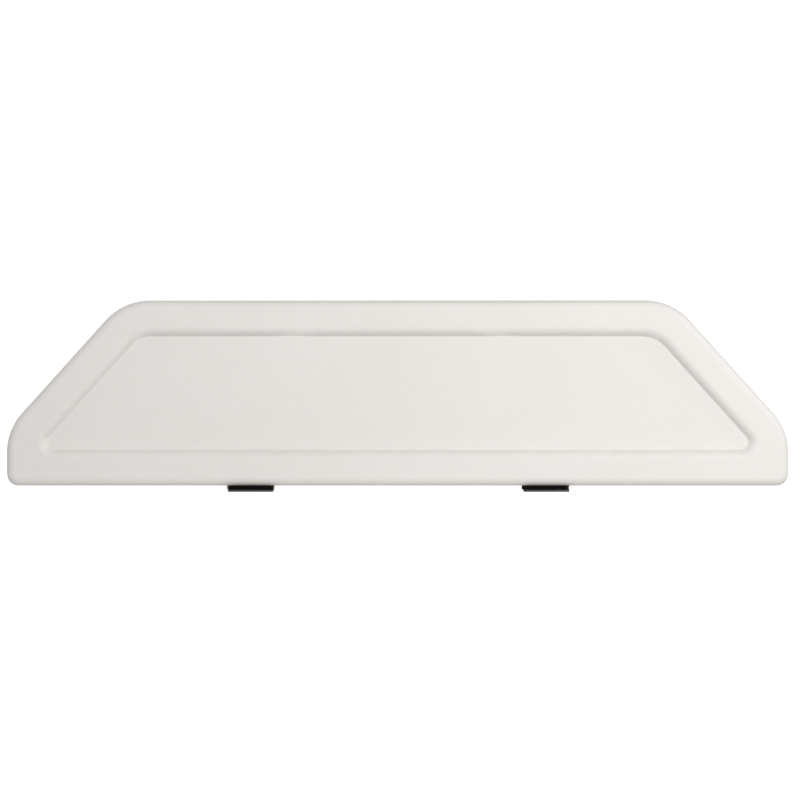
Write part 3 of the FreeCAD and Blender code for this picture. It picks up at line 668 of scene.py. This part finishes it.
def pan_screw(low, high, kind):
    """A pan-head screw whose tip is towards the front: a pointed start, a thread whose radius
    is a triangle wave of the distance less the angle's share of the pitch, and a flat-sided
    head rounded over to a low dome with a cross recess."""
    head, shank, pitch = HEAD_THICK[kind], SHANK_RADIUS[kind], THREAD_PITCH[kind]
    head_radius = (high[0] - low[0]) / 2
    angles = 2 * np.pi * np.arange(AROUND) / AROUND
    under = high[1] - head
    along = np.arange(low[1], under, pitch / THREAD_STEPS)[:, None]
    wave = abs((along / pitch - angles / (2 * np.pi)) % 1 - 0.5) * 2
    start = np.clip((along - low[1]) / (2 * shank), THREAD_START, 1)
    radii = start * (shank - THREAD_DEEP * (1 - wave))
    over, rise = HEAD_OVER * head, HEAD_DOME * head
    turn = np.radians(np.linspace(0, 90, DOME_POINTS))[:, None]
    side_r = np.array([[shank], [head_radius - HEAD_EDGE], [head_radius]])
    side_y = under + np.array([[0], [0], [HEAD_EDGE]])
    round_r = head_radius - over + over * np.cos(turn)
    round_y = high[1] - over - rise + over * np.sin(turn)
    top_r = np.linspace(1, DOME_END, RECESS_POINTS)[:, None] * (head_radius - over)
    dome = rise * (1 - (top_r / (head_radius - over)) ** 2)
    recess = cross_depth(top_r, angles, head_radius, RECESS_DEEP * head)
    top_y = high[1] - rise + dome - recess
    every_r = [np.broadcast_to(r, (len(r), AROUND)) for r in (radii, side_r, round_r, top_r[1:])]
    every_y = [np.broadcast_to(y, (len(y), AROUND)) for y in (along, side_y, round_y, top_y[1:])]
    middle = (low + high) / 2
    return turned(np.concatenate(every_r), np.concatenate(every_y), middle)


def screws(node):
    """Every screw of a node, from the places of its solids."""
    kind = node.split("_", 1)[1] if node.startswith(SIDES) else node
    parts = [pan_screw(low, high, kind) for low, high in solids_of(node)]
    piece(f"{node}_form", joined(parts), node)


def bumper(side):
    """A push-in rubber bumper: bulb, stem, flange, tapering side and a rounded, dished tip."""
    node = f"{side}_bumper"
    low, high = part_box(node)
    middle = (low + high) / 2
    wide = (high[0] - low[0]) / 2
    cover_front = low[1] + BULB_HEIGHT
    face = cover_front + COVER_THICK
    turn = np.radians(np.linspace(10, 90, TIP_POINTS))
    tip_r = BUMPER_TIP - BUMPER_TIP_ROUND + BUMPER_TIP_ROUND * np.cos(turn)
    tip_y = high[1] - BUMPER_TIP_ROUND + BUMPER_TIP_ROUND * np.sin(turn)
    radii, along = stops(
        (BUMPER_STEM - 0.5 * MM, low[1]),
        (BUMPER_STEM + 0.2 * MM, low[1] + 0.25 * MM),
        (BUMPER_BULB - 0.2 * MM, cover_front - 0.7 * MM),
        (BUMPER_BULB, cover_front - 0.3 * MM),
        (BUMPER_BULB - 0.1 * MM, cover_front - 0.05 * MM),
        (BUMPER_STEM, cover_front),
        (BUMPER_STEM, face),
        (wide - 0.4 * MM, face),
        (wide, face + 0.4 * MM),
        (wide - 0.2 * MM, face + 0.9 * MM),
        *zip(tip_r, tip_y),
        (BUMPER_TIP - 2.4 * MM, high[1] - 0.1 * MM),
        (BUMPER_TIP - 3.2 * MM, high[1] - 0.6 * MM),
        (0.2 * MM, high[1] - 0.8 * MM),
    )
    piece(f"{node}_form", turned(radii, along, middle), node, BUMPER_SHARP)


def stop_pad(side):
    """A rubber slab with rounded corners and edges."""
    node = f"{side}_stop_pad"
    low, high = (np.array(corner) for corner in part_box(node))
    lower = arc(PAD_EDGE, 180, 270, PAD_POINTS, (PAD_EDGE, low[2] + PAD_EDGE))
    upper = arc(PAD_EDGE, 270, 360, PAD_POINTS, (PAD_EDGE, high[2] - PAD_EDGE))
    rings = []
    for inset, height in lower + upper:
        outline = slab_ring(low[:2], high[:2], PAD_CORNER, inset)
        rings.append(np.column_stack([outline, np.full(len(outline), height)]))
    piece(f"{node}_form", capped(rings), node)


def hardware():
    """The screws, bumpers, pads and softened plates of both hinges, and the cover's screws."""
    screws("cover_screws")
    softened("boss_inserts", EDGE_ROUND["boss_inserts"])
    for side in SIDES:
        screws(f"{side}_leaf_screws")
        bumper(side)
        stop_pad(side)
        for kind, width in EDGE_ROUND.items():
            if kind != "boss_inserts":
                softened(f"{side}_{kind}", width)


finishes = {
    "resin_white": moulded_white("resin_white", (0.845, 0.817, 0.785), (0.822, 0.793, 0.759)),
    "hinge_black": powder_black("hinge_black"),
    "rubber_black": black_rubber("rubber_black"),
    "steel_bright": plated_steel("steel_bright"),
    "insert_brass": turned_brass("insert_brass"),
    "nylon_white": plain_nylon("nylon_white"),
}


def dress_nodes():
    """Gives each CAD node its slot's finish."""
    for name, slot in SLOT_OF.items():
        NODES[name].data.materials.clear()
        NODES[name].data.materials.append(finishes[slot])


# Stage -----------------------------------------------------------------------------------


def fresh_tree(owner):
    """A material's or world's node tree, emptied."""
    owner.use_nodes = True
    owner.node_tree.nodes.clear()
    return owner.node_tree


def stage_node(tree, kind, **values):
    """Adds a node with constants on its sockets."""
    made = tree.nodes.new(kind)
    for name, value in values.items():
        made.inputs[name].default_value = value
    return made


def by_viewer(tree, to_object, to_camera, out_kind):
    """Sends one shader to the object and another to the camera."""
    seen = stage_node(tree, "ShaderNodeLightPath")
    pick = stage_node(tree, "ShaderNodeMixShader")
    out = stage_node(tree, out_kind)
    tree.links.new(seen.outputs["Is Camera Ray"], pick.inputs[0])
    tree.links.new(to_object.outputs[0], pick.inputs[1])
    tree.links.new(to_camera.outputs[0], pick.inputs[2])
    tree.links.new(pick.outputs[0], out.inputs[0])


def white_floor():
    """A flat round floor, which the camera sees as near white and the object as grey."""
    angles = np.linspace(0, 2 * np.pi, FLOOR_SIDES, endpoint=False)
    height = np.full(FLOOR_SIDES, -FLOOR_LOW)
    points = np.stack([FLOOR_RADIUS * np.cos(angles), FLOOR_RADIUS * np.sin(angles), height], axis=1)
    mesh = bpy.data.meshes.new("floor")
    mesh.from_pydata(points.tolist(), [], [list(range(FLOOR_SIDES))])
    floor = bpy.data.objects.new("floor", mesh)
    bpy.context.scene.collection.objects.link(floor)
    material = bpy.data.materials.new("floor_white")
    tree = fresh_tree(material)
    dull = stage_node(tree, "ShaderNodeEmission", Strength=FLOOR_GLOW)
    pale = stage_node(tree, "ShaderNodeBsdfDiffuse", Color=(*[FLOOR_TONE_SEEN] * 3, 1))
    glow = stage_node(tree, "ShaderNodeEmission", Strength=FLOOR_GLOW_SEEN)
    both = stage_node(tree, "ShaderNodeAddShader")
    tree.links.new(pale.outputs[0], both.inputs[0])
    tree.links.new(glow.outputs[0], both.inputs[1])
    by_viewer(tree, dull, both, "ShaderNodeOutputMaterial")
    mesh.materials.append(material)


def white_world():
    """A white room that lights evenly from all round, brighter to the camera."""
    world = bpy.data.worlds.new("room")
    bpy.context.scene.world = world
    tree = fresh_tree(world)
    white = (1, 1, 1, 1)
    lit = stage_node(tree, "ShaderNodeBackground", Color=white, Strength=ROOM_GLOW)
    seen = stage_node(tree, "ShaderNodeBackground", Color=white, Strength=ROOM_GLOW_SEEN)
    by_viewer(tree, lit, seen, "ShaderNodeOutputWorld")


def area_light(name, place, aim, size, power):
    """A square soft light at a place, facing a point."""
    data = bpy.data.lights.new(name, "AREA")
    data.size = size
    data.energy = power
    lamp = bpy.data.objects.new(name, data)
    lamp.visible_camera = False
    lamp.location = place
    away = Vector(place) - Vector(aim)
    lamp.rotation_euler = away.to_track_quat("Z", "Y").to_euler()
    bpy.context.scene.collection.objects.link(lamp)


def camera():
    """Square to the panel's front, level, a little over half way down it."""
    data = bpy.data.cameras.new("camera")
    data.lens = LENS
    data.sensor_width = SENSOR
    distance = SEEN_WIDTH * LENS / SENSOR
    eye = bpy.data.objects.new("camera", data)
    eye.location = (EYE_X, FRONT + FRONT_ROUND - distance, EYE_HEIGHT)
    eye.rotation_euler = (math.pi / 2, 0, 0)
    bpy.context.scene.collection.objects.link(eye)
    bpy.context.scene.camera = eye
    bpy.context.scene.view_settings.view_transform = "Standard"


dress_nodes()
front_moulding()
rear_moulding()
seal_ring()
hardware()
white_floor()
white_world()
for lamp, settings in LIGHTS.items():
    area_light(lamp, *settings)
camera()
